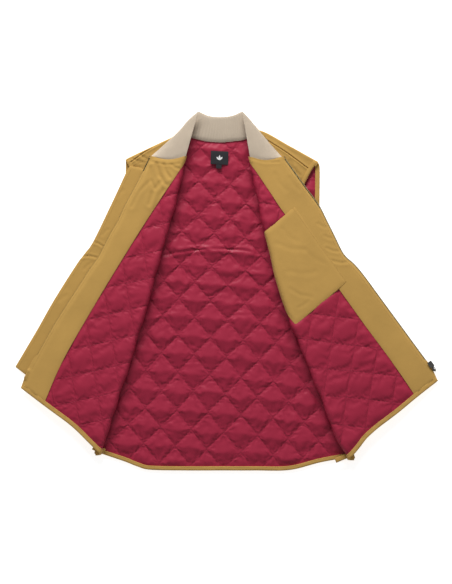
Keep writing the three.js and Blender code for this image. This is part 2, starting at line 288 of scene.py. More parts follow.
def inside(outline, xy):
    x, y = xy[:, 0], xy[:, 1]
    hit = np.zeros(len(xy), bool)
    for (x0, y0), (x1, y1) in zip(outline, np.roll(outline, -1, axis=0)):
        cross = (y0 > y) != (y1 > y)
        with np.errstate(divide="ignore", invalid="ignore"):
            hit ^= cross & (x < (x1 - x0) * (y - y0) / (y1 - y0) + x0)
    return hit


def smoothstep(t):
    t = np.clip(t, 0, 1)
    return t * t * (3 - 2 * t)


# ---------------------------------------------------------------- quilting
class Quilt:
    """Diamond quilting: across and down are the cell's two sides, from the crossing at origin."""

    def __init__(self, origin, across, down, seed, ridge):
        self.origin = np.array(origin, float)
        self.inverse = np.linalg.inv(np.array([across, down], float).T)
        self.seed = seed
        self.ridge = ridge

    def cell(self, xy):
        rel = np.asarray(xy, float) - self.origin
        rel = rel + np.stack([drift(xy, 120, self.seed),
                              drift(xy, 110, self.seed + 1)], 1) * 3.0
        return rel @ self.inverse.T

    def height(self, xy):
        """0 on the stitch lines, about 1 on top of a pillow: a roof whose ridge runs across each cell."""
        ij = self.cell(xy)
        x, y = xy[:, 0], xy[:, 1]
        k = np.floor(ij)
        a, b = (ij - k).T
        rough = wobble(k[:, 0] * 37.7, k[:, 1] * 53.1, 19.0, self.seed + 2)
        other = wobble(k[:, 0] * 29.1, k[:, 1] * 41.7, 17.0, self.seed + 3)
        ripple = 0.035 * wobble(x, y * 0.3, 9, self.seed + 4) + 0.05 * wobble(x, y, 24, self.seed + 7)
        if self.ridge == "diagonal":
            shift = 0.10 * rough + ripple
            up = np.clip(a * b, 0, 1) ** 0.78 * np.exp(-shift * 2.2) * 0.96
            down = np.clip((1 - a) * (1 - b), 0, 1) ** 0.74 * np.exp(shift * 2.2) * 1.04
            body = 2.75 * (up + down - np.sqrt((up - down) ** 2 + 0.0006)) / 2
        else:
            up = np.clip(b, 0, 1) ** 0.7
            down = np.clip(1 - b, 0, 1) ** 0.6 * (1 + 0.2 * rough)
            tent = (up + down - np.sqrt((up - down) ** 2 + 0.004)) / 2
            side = np.clip(4 * a * (1 - a), 0, 1) ** 0.5
            body = 1.35 * tent * side * (1 + ripple * 3)
        body = body * (1 + 0.16 * other)
        inside_cell = np.clip(np.minimum(np.minimum(a, 1 - a), np.minimum(b, 1 - b)) / 0.14, 0, 1)
        n1 = wobble(x, y * 2.4, 17, self.seed + 5)
        m1 = np.clip(wobble(x, y, 46, self.seed + 8) * 2.2 + 0.1, 0, 1)
        n2 = wobble(x * 2.2 + y * 0.4, y * 0.7, 19, self.seed + 9)
        m2 = np.clip(wobble(x, y, 38, self.seed + 10) * 2.2, 0, 1)
        pleat = -0.17 * np.exp(-(n1 / 0.10) ** 2) * m1 - 0.10 * np.exp(-(n2 / 0.12) ** 2) * m2
        swell = 0.06 * n1 * m1 + 0.05 * wobble(x, y, 11, self.seed + 11)
        pull = 0.0
        for ca, cb in ((0, 0), (1, 0), (0, 1), (1, 1)):
            ra = a - ca
            rb = b - cb
            r = np.sqrt(ra * ra + rb * rb) + 1e-6
            ang = np.arctan2(rb, ra)
            ray = np.sin(ang * 13 + rough * 6 + ca * 2 + cb)
            pull = pull + ray * np.exp(-((r - 0.24) / 0.13) ** 2) * 0.05
        return body + inside_cell * (pleat + swell + pull)

    def looseness(self, xy, outline):
        """0 on stitch lines and along the outline, 1 in the open."""
        ij = self.cell(xy)
        off = np.abs(ij - np.round(ij)).min(1)
        return np.minimum(smoothstep(off / 0.10), smoothstep((distance_to(closed(outline), xy) - 1) / 12))

    def points(self, outline, per_cell):
        """Mesh points with rows lying exactly on the stitch lines."""
        corner = self.cell(outline)
        lo = np.floor(corner.min(0)).astype(int) - 1
        hi = np.ceil(corner.max(0)).astype(int) + 1
        t = np.arange(per_cell) / per_cell
        t = t - 0.5 * np.sin(2 * math.pi * t) / (2 * math.pi)
        i = (np.arange(lo[0], hi[0])[:, None] + t).ravel()
        j = (np.arange(lo[1], hi[1])[:, None] + t).ravel()
        want = np.stack(np.meshgrid(i, j), -1).reshape(-1, 2)
        xy = self.plan(want)
        lo_xy, hi_xy = outline.min(0), outline.max(0)
        near = ((xy > lo_xy) & (xy < hi_xy)).all(1)
        xy = xy[near]
        xy = xy[inside(outline, xy)]
        return xy[distance_to(closed(outline), xy) > 1.3]

    def plan(self, want):
        """Where on the plan the cell coordinates lie."""
        xy = self.start(want)
        for _ in range(7):
            here = self.cell(xy)
            du = (self.cell(xy + [0.5, 0]) - here) / 0.5
            dv = (self.cell(xy + [0, 0.5]) - here) / 0.5
            det = du[:, 0] * dv[:, 1] - du[:, 1] * dv[:, 0]
            det = np.where(np.abs(det) < 1e-8, 1e-8, det)
            e = want - here
            step = np.stack([(e[:, 0] * dv[:, 1] - e[:, 1] * dv[:, 0]) / det,
                             (du[:, 0] * e[:, 1] - du[:, 1] * e[:, 0]) / det], 1)
            xy = xy + np.clip(step, -60, 60)
        return xy

    def start(self, want):
        return self.origin + want @ np.linalg.inv(self.inverse).T

    def seams(self, outline, gap=4.0):
        """The stretches of stitch line inside an outline."""
        corner = self.cell(outline)
        lo = np.floor(corner.min(0)).astype(int) - 1
        hi = np.ceil(corner.max(0)).astype(int) + 1
        out = []
        for axis in (0, 1):
            other = 1 - axis
            for k in range(lo[axis], hi[axis] + 1):
                t = np.arange(lo[other], hi[other], 0.08)
                want = np.empty((len(t), 2))
                want[:, axis] = k
                want[:, other] = t
                line = self.plan(want)
                ok = inside(outline, line)
                run = []
                for p, good in zip(line, ok):
                    if good:
                        run.append(p)
                    elif run:
                        if len(run) > 3:
                            out.append(np.array(run))
                        run = []
                if len(run) > 3:
                    out.append(np.array(run))
        return out


class BackQuilt(Quilt):
    """The back's quilting, whose rows lie closer together above the waist."""

    def cell(self, xy):
        x = xy[:, 0] - 51.0
        y = xy[:, 1] + 8.6
        n = -y / 40.0
        for _ in range(3):
            m = (x + 1.1 * n) / 34.6
            drop = -(y + 3.0 * m)
            n = np.where(drop > 0, drop / 40.0, drop / 36.3)
        wx = drift(xy, 120, self.seed) * 0.06
        wy = drift(xy, 110, self.seed + 1) * 0.06
        return np.stack([(n + m) / 2 + wx, (n - m) / 2 + wy], 1)

    def start(self, want):
        n = want.sum(1)
        m = want[:, 0] - want[:, 1]
        drop = np.where(n > 0, 40.0, 36.3)
        return np.stack([51 + 34.6 * m - 1.1 * n, -8.6 - 3.0 * m - drop * n], 1)


QUILT_BACK = BackQuilt((0, 0), (1, 0), (0, 1), 11, "diagonal")
QUILT_RIGHT = Quilt((-270.7, -150.5), (48.0, 11.6), (8.6, -53.75), 23, "level")
QUILT_LEFT = Quilt((280.1, -153.7), (50.1, -4.9), (-8.6, -56.3), 37, "level")


# ---------------------------------------------------------------- mesh builders
def make(name, verts, faces, material, smooth=True, uv=None):
    mesh = bpy.data.meshes.new(name)
    mesh.from_pydata([tuple(v) for v in np.asarray(verts) / 1000.0], [], [tuple(f) for f in faces])
    mesh.polygons.foreach_set("use_smooth", [smooth] * len(mesh.polygons))
    mesh.materials.append(material)
    if uv is not None:
        layer = mesh.uv_layers.new(name="weave")
        loops = np.empty(len(mesh.loops), int)
        mesh.loops.foreach_get("vertex_index", loops)
        layer.data.foreach_set("uv", np.asarray(uv, float)[loops].ravel())
    mesh.update()
    obj = bpy.data.objects.new(name, mesh)
    bpy.context.scene.collection.objects.link(obj)
    return obj


def lattice_points(outline, spacing):
    """Evenly spaced points inside an outline, clear of its edge."""
    lo = outline.min(0)
    hi = outline.max(0)
    mid = (lo + hi) / 2
    r = np.hypot(*(hi - lo)) / 2 + spacing
    n = int(r / spacing) + 1
    gx, gy = np.meshgrid(np.arange(-n, n + 1) * spacing, np.arange(-n, n + 1) * spacing)
    gx = gx + (np.arange(gx.shape[0]) % 2)[:, None] * spacing * 0.5
    pts = np.stack([mid[0] + gx, mid[1] + gy * ROW_RATIO], -1).reshape(-1, 2)
    pts = pts[inside(outline, pts)]
    return pts[distance_to(closed(outline), pts) > spacing * EDGE_CLEAR]


def triangulate(outline, extra):
    n = len(outline)
    coords = [Vector((float(a), float(b))) for a, b in np.vstack([outline, extra])]
    edges = [(i, (i + 1) % n) for i in range(n)]
    out = delaunay_2d_cdt(coords, edges, [], 1, 1e-4)
    xy = np.array([(v.x, v.y) for v in out[0]])
    tri = []
    for f in out[2]:
        a, b, c = (xy[i] for i in f[:3])
        turn = (b[0] - a[0]) * (c[1] - a[1]) - (b[1] - a[1]) * (c[0] - a[0])
        tri.append(tuple(f) if turn > 0 else tuple(reversed(f)))
    return xy, tri


def level(z):
    return lambda p: np.full(len(p), float(z))


def flat_at(middle):
    """Cloth lying flat on a surface of heights."""
    return lambda xy, push: np.column_stack([xy, middle(xy) + push])


def surface(name, outline, place, push, material, spacing=4.0, up=True, quilt=None, per_cell=20, creases=(),
            clear=None, puff=False):
    """One sheet of fabric over an outline, standing push(xy) proud of where place lays it."""
    extra = quilt.points(outline, per_cell) if quilt else lattice_points(outline, spacing)
    if clear is not None:
        extra = extra[~clear(extra)]
    if len(creases):
        extra = np.vstack([extra] + [c[inside(outline, c)] for c in creases])
    xy, tri = triangulate(outline, extra)
    faces = tri if up else [tuple(reversed(f)) for f in tri]
    obj = make(name, place(xy, push(xy)), faces, material, uv=xy / 1000.0)
    if quilt and puff:
        puffed(obj, quilt.looseness(xy, outline))
    return obj


def soft_slab(name, outline, place, push, thick, material, spacing):
    """A closed fabric piece thick millimetres through, its edges turned over."""
    xy, tri = triangulate(outline, lattice_points(outline, spacing))
    rim = closed(outline)
    soft = EDGE_SOFTNESS * thick
    drop = soft * np.exp(-distance_to(rim, xy) / 1.2)
    mid = push(xy)
    top = place(xy, mid + thick / 2 - drop)
    low = place(xy, mid - thick / 2 + drop * 0.5)
    n = len(xy)
    verts = [top, low]
    flat = [xy, xy]
    faces = list(tri) + [tuple(i + n for i in reversed(f)) for f in tri]
    rim_push = push(rim)
    out = np.roll(outline, -1, axis=0) - np.roll(outline, 1, axis=0)
    out = np.stack([out[:, 1], -out[:, 0]], 1) / np.maximum(np.hypot(*out.T), 1e-6)[:, None]
    out = np.vstack([out, out[:1]])
    h = thick / 2 - soft
    k = 2 * n
    m = len(rim)
    rows = ((0.0, h), (0.3, h * 0.55), (0.38, 0.0), (0.3, -h * 0.7), (0.0, -thick / 2 + soft * 0.5))
    for grow, up in rows:
        verts.append(place(rim + out * grow, rim_push + up))
        flat.append(rim)
    for j in range(len(rows) - 1):
        for i in range(m - 1):
            faces.append((k + j * m + i, k + (j + 1) * m + i, k + (j + 1) * m + i + 1, k + j * m + i + 1))
    return make(name, np.vstack(verts), faces, material, uv=np.vstack(flat) / 1000.0)


def ribbon(name, line, profile, place, material, pucker=0.0, seed=3):
    """A closed profile of (inward distance, height) points carried along a line."""
    n = normals(line)
    s = along(line)
    rows = []
    for d, h in profile:
        shift = pucker * wobble(s, s * 0 + d * 3.0, 9, seed) * (0.4 + 0.6 * min(1.0, abs(d) / 6))
        rows.append(place(line + n * d, h + shift))
    k = len(profile)
    m = len(line)
    faces = []
    for j in range(k):
        jn = (j + 1) % k
        for i in range(m - 1):
            faces.append((j * m + i, j * m + i + 1, jn * m + i + 1, jn * m + i))
    faces.append(tuple(j * m for j in range(k)))
    faces.append(tuple(j * m + m - 1 for j in reversed(range(k))))
    uv = np.vstack([np.column_stack([s, s * 0 + d]) for d, h in profile]) / 1000.0
    return make(name, np.vstack(rows), faces, material, uv=uv)


def rounded(width, low, high, steps=6):
    """The outline of a folded band: 0 is its outer edge, width its inner edge."""
    pts = [(width, low + 0.2), (width, high - 0.2), (width - 0.5, high)]
    r = (high - low) / 2
    mid = (high + low) / 2
    pts.append((r + 1, high))
    for i in range(steps + 1):
        a = math.pi / 2 - math.pi * i / steps
        pts.append((r - r * math.cos(a), mid + r * math.sin(a)))
    pts.append((r + 1, low))
    pts.append((width - 0.5, low))
    return pts


def stitches(name, lines, place, push, material, length):
    """Rows of small thread stitches lying on lines of the plan."""
    verts = []
    faces = []
    for line in lines:
        pts = curve(line, STITCH_PITCH) if len(line) > 2 else line
        if len(pts) < 3:
            continue
        z = push(pts)
        c = place(pts, z)
        a = np.gradient(c, axis=0)
        a /= np.maximum(np.linalg.norm(a, axis=1), 1e-9)[:, None]
        u = place(pts, z + 1.0) - c
        b = np.cross(u, a)
        for i in range(len(pts)):
            k = len(verts)
            for f, r in ((-0.5, 0.3), (-0.25, 1.0), (0.25, 1.0), (0.5, 0.3)):
                for ca, sa in ((1, 0), (0, 1), (-1, 0), (0, -0.6)):
                    verts.append(c[i] + a[i] * f * length + (b[i] * ca + u[i] * sa) * THREAD_RADIUS * r)
            for j in range(3):
                for q in range(4):
                    w = (q + 1) % 4
                    faces.append((k + j * 4 + q, k + j * 4 + w, k + j * 4 + 4 + w, k + j * 4 + 4 + q))
    return make(name, verts, faces, material)


def puffed(obj, free):
    """Cloth simulation: the fabric swells and puckers between its stitch lines, where free is 0."""
    group = obj.vertex_groups.new(name="stitched")
    held = np.round(1 - np.clip(free, 0, 1), 1)
    for level in np.unique(held):
        if level > 0:
            group.add([int(i) for i in np.where(held == level)[0]], float(level), "REPLACE")
    cloth = obj.modifiers.new("puff", "CLOTH")
    cloth.collision_settings.use_collision = False
    given = cloth.settings
    given.quality = 4
    given.mass = 0.1
    given.tension_stiffness = 10
    given.compression_stiffness = 10
    given.shear_stiffness = 5
    given.bending_stiffness = 0.01
    given.use_pressure = True
    given.uniform_pressure_force = PUFF_PRESSURE
    given.vertex_group_mass = "stitched"
    given.shrink_min = -PUFF_GROWTH
    given.effector_weights.gravity = 0
    scene = bpy.context.scene
    for number in range(1, PUFF_FRAMES + 1):
        scene.frame_set(number)
    moved = obj.evaluated_get(bpy.context.evaluated_depsgraph_get()).to_mesh()
    after = np.empty(len(moved.vertices) * 3)
    moved.vertices.foreach_get("co", after)
    before = np.empty(len(obj.data.vertices) * 3)
    obj.data.vertices.foreach_get("co", before)
    step = (after - before).reshape(-1, 3)
    size = np.maximum(np.linalg.norm(step, axis=1), 1e-9)
    step *= (np.tanh(size * 1000 / PUFF_CAP) * PUFF_CAP / 1000 / size)[:, None]
    obj.modifiers.remove(cloth)
    scene.frame_set(1)
    obj.data.vertices.foreach_set("co", before + step.ravel())
    obj.data.update()


# ---------------------------------------------------------------- materials
def shader(name, color, roughness, metallic=0.0, sheen=0.0, specular=0.5):
    m = bpy.data.materials.new(name)
    m.use_nodes = True
    b = m.node_tree.nodes["Principled BSDF"]
    b.inputs["Base Color"].default_value = (*color, 1)
    b.inputs["Roughness"].default_value = roughness
    b.inputs["Metallic"].default_value = metallic
    b.inputs["Specular IOR Level"].default_value = specular
    b.inputs["Sheen Weight"].default_value = sheen
    b.inputs["Sheen Roughness"].default_value = 0.45
    b.inputs["Sheen Tint"].default_value = (1, 1, 1, 1)
    return m, m.node_tree.nodes, m.node_tree.links, b


def linear(r, g, b):
    def one(c):
        c = c / 255.0
        return c / 12.92 if c <= 0.04045 else ((c + 0.055) / 1.055) ** 2.4
    return one(r), one(g), one(b)


def mottled(nodes, links, color, spread, scale, coords):
    """A colour that drifts a little over the cloth."""
    noise = nodes.new("ShaderNodeTexNoise")
    noise.inputs["Scale"].default_value = scale
    noise.inputs["Detail"].default_value = 4.0
    noise.inputs["Roughness"].default_value = 0.6
    ramp = nodes.new("ShaderNodeValToRGB")
    ramp.color_ramp.elements[0].position = 0.3
    ramp.color_ramp.elements[1].position = 0.7
    ramp.color_ramp.elements[0].color = (*[c * (1 - spread) for c in color], 1)
    ramp.color_ramp.elements[1].color = (*[min(1, c * (1 + spread)) for c in color], 1)
    links.new(coords, noise.inputs["Vector"])
    links.new(noise.outputs["Fac"], ramp.inputs["Fac"])
    return ramp.outputs["Color"]


def woven(name, color, roughness, pitch, depth, spread, sheen=0.2, specular=0.3, wrinkle=0.0):
    """Woven cloth: crossing threads pitch millimetres apart, in each piece's own flat pattern."""
    m, nodes, links, b = shader(name, color, roughness, sheen=sheen, specular=specular)
    uv = nodes.new("ShaderNodeUVMap")
    uv.uv_map = "weave"
    waves = []
    for direction in ("X", "Y"):
        w = nodes.new("ShaderNodeTexWave")
        w.wave_type = "BANDS"
        w.bands_direction = direction
        w.wave_profile = "SIN"
        w.inputs["Scale"].default_value = 1000.0 / pitch / 20.0 * math.pi
        w.inputs["Distortion"].default_value = 0.6
        w.inputs["Detail Scale"].default_value = 2.0
        links.new(uv.outputs["UV"], w.inputs["Vector"])
        waves.append(w)
    mix = nodes.new("ShaderNodeMath")
    mix.operation = "MULTIPLY"
    links.new(waves[0].outputs["Fac"], mix.inputs[0])
    links.new(waves[1].outputs["Fac"], mix.inputs[1])
    bump = nodes.new("ShaderNodeBump")
    bump.inputs["Strength"].default_value = 0.35
    bump.inputs["Distance"].default_value = depth / 1000.0
    links.new(mix.outputs["Value"], bump.inputs["Height"])
    last = bump
    if wrinkle:
        crumple = nodes.new("ShaderNodeTexNoise")
        crumple.inputs["Scale"].default_value = 38.0
        crumple.inputs["Detail"].default_value = 3.0
        crumple.inputs["Distortion"].default_value = 0.7
        links.new(uv.outputs["UV"], crumple.inputs["Vector"])
        last = nodes.new("ShaderNodeBump")
        last.inputs["Strength"].default_value = 0.5
        last.inputs["Distance"].default_value = wrinkle / 1000.0
        links.new(crumple.outputs["Fac"], last.inputs["Height"])
        links.new(bump.outputs["Normal"], last.inputs["Normal"])
    links.new(last.outputs["Normal"], b.inputs["Normal"])
    links.new(mottled(nodes, links, color, spread, 14.0, uv.outputs["UV"]), b.inputs["Base Color"])
    return m


CANVAS_RGB = linear(190, 150, 79)
SHELL_RGB = linear(186, 146, 76)
SATIN_RGB = linear(160, 38, 64)
canvas = woven("canvas_facing", CANVAS_RGB, 0.85, 0.9, 0.12, 0.05, sheen=0.12, wrinkle=0.7)
canvas_out = woven("canvas_shell", SHELL_RGB, 0.85, 0.9, 0.14, 0.05, sheen=0.12, wrinkle=0.7)
satin = woven("satin_lining", SATIN_RGB, 0.46, 0.35, 0.03, 0.03, sheen=0.0, specular=0.22, wrinkle=0.12)
tape_mat = woven("zip_tape_cloth", linear(120, 98, 56), 0.8, 0.8, 0.15, 0.05)
label_mat = woven("label_damask", linear(38, 38, 42), 0.75, 0.5, 0.08, 0.05, sheen=0.1)
motif_mat = woven("label_thread", linear(226, 226, 226), 0.7, 0.5, 0.08, 0.02, sheen=0.1)
rib_mat = woven("rib_knit", linear(186, 171, 152), 0.9, 1.1, 0.25, 0.05, sheen=0.35)
# Canvas thread: real thread, coloured darker than the canvas so its rows also stand for the shade along the
# seams (painted shade).
seam_thread_painted_shade = shader("thread_canvas_painted_seam_shade", linear(158, 120, 62), 0.6)[0]
# Quilting thread: real thread, coloured darker than the satin so its lines also stand for the shade in the
# stitched grooves (painted shade).
quilting_thread_painted_groove_shade = shader("thread_satin_painted_groove_shade", linear(120, 30, 50), 0.5)[0]


def metal(name, color, roughness):
    m, nodes, links, b = shader(name, color, roughness, metallic=1.0)
    pos = nodes.new("ShaderNodeTexCoord")
    noise = nodes.new("ShaderNodeTexNoise")
    noise.inputs["Scale"].default_value = 900.0
    noise.inputs["Detail"].default_value = 3.0
    ramp = nodes.new("ShaderNodeMapRange")
    ramp.inputs["To Min"].default_value = roughness * 0.8
    ramp.inputs["To Max"].default_value = min(1.0, roughness * 1.35)
    links.new(pos.outputs["Object"], noise.inputs["Vector"])
    links.new(noise.outputs["Fac"], ramp.inputs["Value"])
    links.new(ramp.outputs["Result"], b.inputs["Roughness"])
    links.new(mottled(nodes, links, color, 0.18, 300.0, pos.outputs["Object"]), b.inputs["Base Color"])
    return m


teeth_mat = metal("teeth_antique_brass", linear(122, 112, 82), 0.5)
gunmetal = metal("slider_gunmetal", linear(120, 118, 114), 0.32)

# ---------------------------------------------------------------- outlines, counter-clockwise from above
neck = curve([(54, 346), (27, 342), (0, 340), (-31, 342.5), (-60, 349)])
shoulder_r = curve([(-60, 349), (-84, 358), (-109, 346), (-150, 327), (-196, 305), (-203, 300)])
armhole_r = curve([(-203, 300), (-203.5, 250), (-202, 215), (-208, 175), (-226, 146), (-258, 123)])
side_r = curve([(-258, 123), (-264, -100), (-275, -314)])
hem = curve([(-276, -322), (-259, -330), (-206, -348), (-178, -359), (-150, -366), (-75, -367.5),
             (0, -367.5), (75, -367.5), (150, -366.5), (217, -350), (284, -338)])
side_l = curve([(284, -338), (270, -120), (254, 108)])
armhole_l = curve([(254, 108), (229, 135), (217, 165), (214.5, 200), (215, 283), (211, 296)])
shoulder_l = curve([(211, 296), (150, 330), (84, 364), (54, 346)])
back_outline = chain(shoulder_r, armhole_r, side_r, hem, side_l, armhole_l, shoulder_l, neck)

rs_shoulder = curve([(-70, 350), (-86, 357), (-109, 345), (-150, 326), (-195, 304), (-201.5, 299)])
rs_armhole = curve([(-201.5, 299), (-188, 268), (-177, 235), (-178, 205), (-190, 170), (-214, 144),
                    (-256, 122)])
rs_side = curve([(-256, 122), (-262, -100), (-272, -317)])
rs_hem = curve([(-272, -317), (-262, -324), (-250, -330)])
ls_hem = curve([(250, -350), (262, -345), (282, -337)])
ls_side = curve([(282, -337), (268, -120), (252, 107)])
ls_armhole = curve([(252, 107), (211, 134), (188, 165), (176, 200), (179, 240), (188, 262), (199, 282),
                    (209, 295)])
ls_shoulder = curve([(209, 295), (150, 328), (84, 362), (62, 350)])

# the fronts' outlines go on past the fold, as the flat cloth does before it is turned
zip_r = curve([(-152.7, 305.3), (-166.6, 276), (-181.9, 245), (-205, 203), (-220, 170.5),
               (-235.6, 143.6), (-249.4, 116.7), (-262.5, 91.8), (-280, 67), (-301, 34.4), (-359, -56),
               (-412, -152)], 3)
zip_r_end = curve([(-412, -152), (-418, -163), (-428, -190)])
hem_r = curve([(-428, -190), (-373, -231), (-320, -270), (-281, -307), (-258, -329), (-238, -344),
               (-216, -356), (-196, -366)])
neck_r = curve([(-20, 326), (-38, 320), (-55, 314), (-73, 309), (-92, 303), (-112, 301), (-130, 303.5),
                (-146, 308), (-152.7, 305.3)])
seam_r = curve([(-18, 321), (-36, 316), (-56, 308), (-74, 297), (-100, 259), (-127, 219), (-185, 129),
                (-264, 0), (-338, -129), (-380, -224)])
hem_l = curve([(222, -376), (240, -366), (255, -357), (269, -347), (286, -332), (300, -316), (314, -298),
               (330, -283), (346, -270), (381, -244), (428, -206), (470, -174)])
zip_l_end = curve([(470, -174), (459, -150)])
zip_l = curve([(459, -149), (432, -112.4), (385, -48.5), (349, 0.4), (311, 52), (289, 78), (273, 92),
               (262, 107), (245, 142), (232, 168), (213, 205), (182, 247), (141, 304)], 3)
neck_l = curve([(141, 304), (131, 306.5), (112, 301), (90, 300), (64, 307), (46, 313), (28, 319), (8, 326)])
seam_l = curve([(430, -228), (418, -202), (368, -129), (311, -52), (257, 23), (139, 186), (108, 232),
                (64, 296), (50, 306), (28, 314), (6, 321)])


def fold_line(fold, y0, y1, v, step=4.0):
    u0 = (fold.at[1] + fold.out[1] * v - y0) / -fold.along[1]
    u1 = (fold.at[1] + fold.out[1] * v - y1) / -fold.along[1]
    return curve(fold.xy(np.array([u0, u1]), np.array([v, v])), step)


def part_of(line, test):
    idx = np.where(test(line))[0]
    return line[idx[0]:idx[-1] + 1] if len(idx) else line[:0]


def kept(fold, line):
    """The part of a line that the front's cloth really reaches."""
    def test(p):
        u, w = fold.uv(p)
        return w > fold.last(u) + 1.0
    return part_of(line, test)


def ease(line, xy, width):
    return smoothstep(distance_to(line, xy) / width)


def dents(xy, wrinkles):
    """Soft creases pressed along short lines: (from, to, depth, width)."""
    total = np.zeros(len(xy))
    for a, b, depth, width in wrinkles:
        a = np.array(a, float)
        b = np.array(b, float)
        bend = np.array([b[1] - a[1], a[0] - b[0]]) * 0.08
        d = distance_to(np.array([a, (a + b) / 2 + bend, b]), xy)
        rim = 0.55 * np.exp(-((d - 2.2 * width) / (1.3 * width)) ** 2)
        total += depth * (rim - np.exp(-(d / width) ** 2))
    return total


# ---------------------------------------------------------------- back
crease = curve([(-150, 90), (-90, 103), (-20, 110), (40, 108), (66, 104)])
table = flat_at(level(0))
BACK_EDGES = ((neck, 12), (hem, 24), (side_r, 14), (side_l, 14), (armhole_r, 16), (armhole_l, 16))


def back_top(xy):
    edge = np.minimum.reduce([ease(line, xy, width) for line, width in BACK_EDGES])
    h = QUILT_BACK.height(xy) * (1 - 0.5 * np.exp(-(distance_to(neck, xy) / 24) ** 2))
    broad = drift(xy, 90, 5)
    d = distance_to(crease, xy)
    fold = -1.5 * np.exp(-(d / 1.8) ** 2) + 1.0 * np.exp(-((d - 6) / 4.5) ** 2)
    return 1.7 + edge * (QUILT_LOFT * h + broad * 0.5 + 0.5) + fold * edge


back_inner = chain(shoulder_r, offset(armhole_r, 7), side_r, offset(hem, 8), side_l, offset(armhole_l, 7),
                   shoulder_l, neck)
back_lining = surface("back_quilted_lining", back_inner, table, back_top, satin, quilt=QUILT_BACK,
                      per_cell=18, puff=True)
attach(back_lining, "back")
back_outer = chain(offset(shoulder_r, 2.5), offset(armhole_r, 2.5), offset(side_r, 2.5), offset(hem, 5),
                   offset(side_l, 2.5), offset(armhole_l, 2.5), offset(shoulder_l, 2.5), offset(neck, 1))
back_shell = surface("back_canvas", back_outer, table,
                     lambda xy: 0.4 + 0.4 * (1 + drift(xy, 60, 61)), canvas_out, 6.0, up=False)
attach(back_shell, "back")
hem_back = ribbon("back_hem_binding", hem, rounded(HEM_BAND - 3, 0.0, 5.2), table, canvas, 0.35)
arm_r = ribbon("right_armhole_band", armhole_r, rounded(10, 0.2, 5.0), table, canvas, 0.3)
arm_l = ribbon("left_armhole_band", armhole_l, rounded(10, 0.2, 5.2), table, canvas, 0.3)
for piece in (hem_back, arm_r, arm_l):
    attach(piece, "back")


# ---------------------------------------------------------------- side parts, under the folded-out fronts
def side_part(tag, fold, shoulder, armhole, side, hemline, quilt):
    if fold is RIGHT:
        yoke = [(-125, 338), (-160, 319), (-192, 296)]
        wrinkles = [((-178, 318), (-150, 300), 0.9, 2.4), ((-200, 290), (-172, 285), 0.8, 2.2),
                    ((-190, 305), (-160, 296), 0.7, 2.0)]
        free = (shoulder, armhole, side, hemline)
    else:
        yoke = [(97, 346), (143, 317), (189, 283)]
        wrinkles = [((150, 300), (172, 268), 0.9, 2.4), ((140, 305), (158, 282), 0.8, 2.0),
                    ((165, 285), (176, 250), 0.7, 2.0)]
        free = (hemline, side, armhole, shoulder)
    ridge = curve(yoke, 2.0)
    creases = [offset(ridge, d) for d in (-4, -2.6, -1.4, -0.6, 0.0, 0.6, 1.4, 2.6, 4)]

    def top(xy):
        d = distance_to(ridge, xy)
        step = 0.9 * np.exp(-((d - 2.2) / 2.0) ** 2) - 1.5 * np.exp(-(d / 0.9) ** 2)
        return 2.0 + 0.5 * drift(xy, 34, 71) + dents(xy, wrinkles) + step

    def under(xy):
        return -1.0 - 1.6 * quilt.height(xy)

    def reach(line):
        return part_of(line, lambda p: fold.uv(p)[1] > TUCK_V - 1)

    laid = flat_at(fold.side)
    path = [x for x in map(reach, free) if len(x)]
    outline = chain(*path, fold_line(fold, path[-1][-1][1], path[0][0][1], TUCK_V))
    shell = surface(f"{tag}_side_canvas", outline, laid, top, canvas_out, 3.5, creases=creases)
    lining = surface(f"{tag}_side_quilted_lining", outline, laid, under, satin, up=False, quilt=quilt,
                     per_cell=12)
    band = ribbon(f"{tag}_side_armhole_band", armhole, rounded(9, -2.3, 2.7), laid, canvas_out, 0.35)
    hem_piece = ribbon(f"{tag}_side_hem_binding", hemline, rounded(HEM_BAND - 2, -2.3, 2.6), laid, canvas_out,
                       0.35)
    for piece in (shell, lining, band, hem_piece):
        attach(piece, "back")
    return shell, lining, band, hem_piece


def wrap(name, line, fold):
    """Canvas that turns from the back's underside up over an edge onto the side part."""
    steps = 10
    n = normals(line)
    high = fold.side(line) + 2.1
    low = np.full(len(line), 0.4)
    r = (high - low) / 2
    mid = (high + low) / 2
    rows = []
    for i in range(-2, steps + 4):
        if i < 0:
            p = line + n * (3.0 * -i + 1)
            z = low
        elif i > steps:
            p = line + n * (3.0 * (i - steps) + 1)
            z = fold.side(p) + 2.1 - 0.2 * (i - steps)
        else:
            a = -math.pi / 2 + math.pi * i / steps
            p = line + n * (1 - math.cos(a) * 2.6)
            z = mid + r * math.sin(a)
        z = z + 0.35 * drift(p, 18, 73)
        rows.append(np.column_stack([p, z]))
    m = len(line)
    faces = [(j * m + i, (j + 1) * m + i, (j + 1) * m + i + 1, j * m + i + 1)
             for j in range(len(rows) - 1) for i in range(m - 1)]
    s = np.arange(m) * 4.0
    uv = np.vstack([np.column_stack([s, s * 0 + j * 2.5]) for j in range(len(rows))]) / 1000.0
    obj = make(name, np.vstack(rows), faces, canvas_out, uv=uv)
    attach(obj, "back")
    return obj


right_side = side_part("right", RIGHT, rs_shoulder, rs_armhole, rs_side, rs_hem, QUILT_RIGHT)
left_side = side_part("left", LEFT, ls_shoulder, ls_armhole, ls_side, ls_hem, QUILT_LEFT)
right_shoulder = wrap("right_shoulder_fold", shoulder_r[4:], RIGHT)
left_shoulder = wrap("left_shoulder_fold", shoulder_l[:-8], LEFT)
right_side_seam = wrap("right_side_seam_fold", side_r, RIGHT)
left_side_seam = wrap("left_side_seam_fold", side_l, LEFT)

